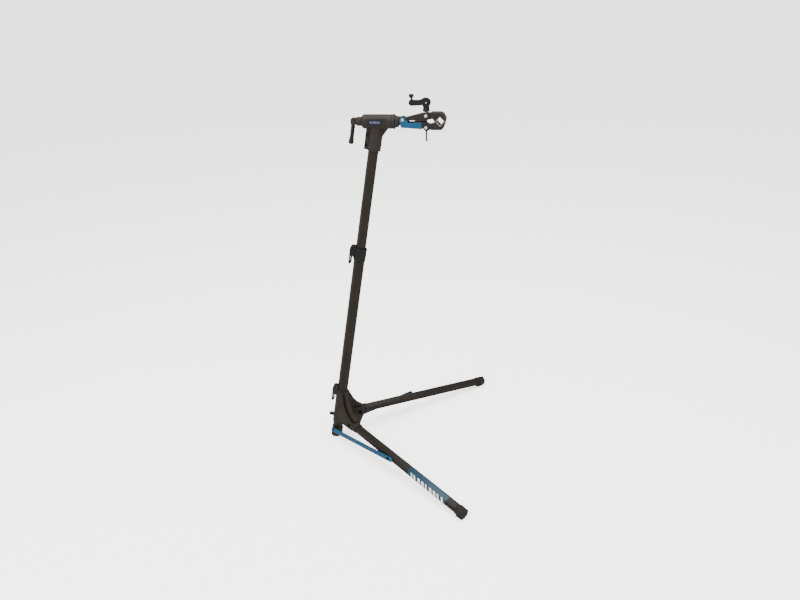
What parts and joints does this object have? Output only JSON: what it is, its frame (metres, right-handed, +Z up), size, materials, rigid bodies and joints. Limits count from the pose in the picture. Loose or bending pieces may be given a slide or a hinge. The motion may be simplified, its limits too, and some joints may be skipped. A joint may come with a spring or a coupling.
{
  "type": "bicycle repair stand",
  "caption": "Folding bicycle repair stand: leaning telescopic hexagonal mast, sliding collar with folding legs and struts, rotating head and quick-cam jaw clamp.",
  "frame": {"origin": "centre of the mast foot on the floor", "axes": "+Z up, +X the way the mast leans and the jaw points, legs spread to -Y and +Y"},
  "size_m": [0.686, 1.126, 1.5564],
  "materials": {
    "black_tube": "black anodised",
    "black_casting": "black powder coat",
    "black_plastic": "moulded, fine texture",
    "rubber": "matt",
    "blue_arm": "satin blue",
    "black_steel": "black oxide",
    "bright_steel": "zinc plated",
    "lever_inlay": "polished",
    "jaw_pad": "matt grey",
    "brass": "turned",
    "plaque": "printed"
  },
  "bodies": {
    "mast": {"lower_tube": "black_tube", "mast_foot": "rubber", "base_bracket": "black_casting", "mast_collar": "black_plastic", "front_strut_base_bolt": "black_steel", "back_strut_base_bolt": "black_steel"},
    "leg_collar": {"leg_collar": "black_casting", "front_leg_pivot_bolt": "black_steel", "back_leg_pivot_bolt": "black_steel"},
    "front_leg": {"front_leg_tube": "black_tube", "front_leg_bracket": "black_casting", "front_leg_cap": "rubber"},
    "front_strut": {"front_strut": "blue_arm", "front_strut_washer": "black_plastic", "front_strut_outer_bolt": "black_steel"},
    "back_leg": {"back_leg_tube": "black_tube", "back_leg_bracket": "black_casting", "back_leg_cap": "rubber"},
    "back_strut": {"back_strut": "blue_arm", "back_strut_washer": "black_plastic", "back_strut_outer_bolt": "black_steel"},
    "collar_lever": {"collar_lever": "black_plastic", "collar_lever_inlay": "lever_inlay", "collar_lever_pin": "black_steel"},
    "collar_plunger": {"collar_plunger_pin": "bright_steel", "collar_plunger_knob": "black_plastic"},
    "upper_mast": {"upper_tube": "black_tube", "guide_plug": "black_plastic", "head_casting": "black_casting", "head_plaque": "plaque", "socket_bolt_1": "black_steel", "socket_bolt_2": "black_steel", "lock_stud": "bright_steel"},
    "mast_lever": {"mast_lever": "black_plastic", "mast_lever_inlay": "lever_inlay", "mast_lever_pin": "black_steel"},
    "lock_handle": {"lock_hub": "black_casting", "lock_handle": "black_casting", "lock_grip": "black_plastic"},
    "clamp_body": {"clamp_shaft": "black_casting", "upper_jaw": "black_casting", "upper_jaw_pad": "jaw_pad", "jaw_pivot_bolt": "bright_steel", "upper_trunnion_screw_front": "bright_steel", "upper_trunnion_screw_back": "bright_steel"},
    "lower_jaw": {"lower_arm": "blue_arm", "lower_jaw": "black_casting", "lower_jaw_pad": "jaw_pad", "lower_trunnion_screw_front": "bright_steel", "lower_trunnion_screw_back": "bright_steel"},
    "spindle_swivel": {"upper_trunnion": "bright_steel"},
    "spindle": {"clamp_rod": "bright_steel", "cam_pivot_pin": "bright_steel", "saddle_puck": "black_plastic"},
    "cam_lever": {"crank_lever": "black_plastic"},
    "crank_knob_body": {"crank_knob": "black_plastic"},
    "jaw_nut_body": {"jaw_nut": "brass"}
  },
  "joints": [
    {"name": "leg_collar_slide", "type": "slide", "parent": "mast", "child": "leg_collar", "axis": [0.1668, 0, 0.986], "range_m": [0, 0.5961]},
    {"name": "front_leg_fold", "type": "hinge", "parent": "leg_collar", "child": "front_leg", "pos_m": [0.09333, -0.06558, 0.09939], "axis": [0.6469, 0.7547, -0.1094], "range_deg": [-0.05, 91.52]},
    {"name": "front_strut_fold", "type": "hinge", "parent": "mast", "child": "front_strut", "pos_m": [0.00774, -0.00197, 0.03216], "axis": [0.6469, 0.7547, -0.1094], "range_deg": [-63.15, 0.05]},
    {"name": "back_leg_fold", "type": "hinge", "parent": "leg_collar", "child": "back_leg", "pos_m": [0.09333, 0.06558, 0.09939], "axis": [-0.6469, 0.7547, 0.1094], "range_deg": [-0.05, 91.52]},
    {"name": "back_strut_fold", "type": "hinge", "parent": "mast", "child": "back_strut", "pos_m": [0.00774, 0.00197, 0.03216], "axis": [-0.6469, 0.7547, 0.1094], "range_deg": [-63.15, 0.05]},
    {"name": "collar_lever_flip", "type": "hinge", "parent": "leg_collar", "child": "collar_lever", "pos_m": [0.00915, 0, 0.252], "axis": [0, 1, 0], "range_deg": [0, 140]},
    {"name": "collar_plunger_pull", "type": "slide", "parent": "leg_collar", "child": "collar_plunger", "axis": [-0.986, 0, 0.1668], "range_m": [0, 0.006], "stiffness_N_per_m": 900, "springref_m": -0.004},
    {"name": "mast_extension", "type": "slide", "parent": "mast", "child": "upper_mast", "axis": [0.1668, 0, 0.986], "range_m": [-0.405, 0.03]},
    {"name": "mast_lever_flip", "type": "hinge", "parent": "mast", "child": "mast_lever", "pos_m": [0.12272, 0, 0.92347], "axis": [0, 1, 0], "range_deg": [0, 140]},
    {"name": "clamp_rotation", "type": "hinge", "parent": "upper_mast", "child": "clamp_body", "pos_m": [0.24532, 0, 1.4504], "axis": [1, 0, 0], "continuous": true},
    {"name": "head_lock_turn", "type": "hinge", "parent": "upper_mast", "child": "lock_handle", "pos_m": [0.24532, 0, 1.4504], "axis": [1, 0, 0], "range_deg": [-120, 30]},
    {"name": "jaw_open", "type": "hinge", "parent": "clamp_body", "child": "lower_jaw", "pos_m": [0.34792, 0, 1.4587], "axis": [0, 1, 0], "range_deg": [0, 20]},
    {"name": "spindle_swing", "type": "hinge", "parent": "clamp_body", "child": "spindle_swivel", "pos_m": [0.43982, 0, 1.4744], "axis": [0, 1, 0], "range_deg": [-0.02, 11.82]},
    {"name": "crank_spin", "type": "hinge", "parent": "spindle_swivel", "child": "spindle", "pos_m": [0.43982, 0, 1.4504], "axis": [0, 0, 1], "continuous": true},
    {"name": "cam_flip", "type": "hinge", "parent": "spindle", "child": "cam_lever", "pos_m": [0.43982, 0, 1.5234], "axis": [0, 1, 0], "range_deg": [0, 100]},
    {"name": "knob_spin", "type": "hinge", "parent": "cam_lever", "child": "crank_knob_body", "pos_m": [0.38232, 0, 1.5404], "axis": [0, 0, 1], "continuous": true},
    {"name": "jaw_nut_swivel", "type": "hinge", "parent": "lower_jaw", "child": "jaw_nut_body", "pos_m": [0.43982, 0, 1.4294], "axis": [0, 1, 0], "range_deg": [-8.28, 0.02]}
  ],
  "couplings": [
    {"joint": "front_leg_fold", "follows": "leg_collar_slide", "rad_per_m": 2.6782},
    {"joint": "front_strut_fold", "follows": "leg_collar_slide", "rad_per_m": -1.8476},
    {"joint": "back_leg_fold", "follows": "leg_collar_slide", "rad_per_m": 2.6782},
    {"joint": "back_strut_fold", "follows": "leg_collar_slide", "rad_per_m": -1.8476},
    {"joint": "spindle_swing", "follows": "jaw_open", "ratio": 0.58872},
    {"joint": "jaw_nut_swivel", "follows": "jaw_open", "ratio": -0.41128}
  ]
}
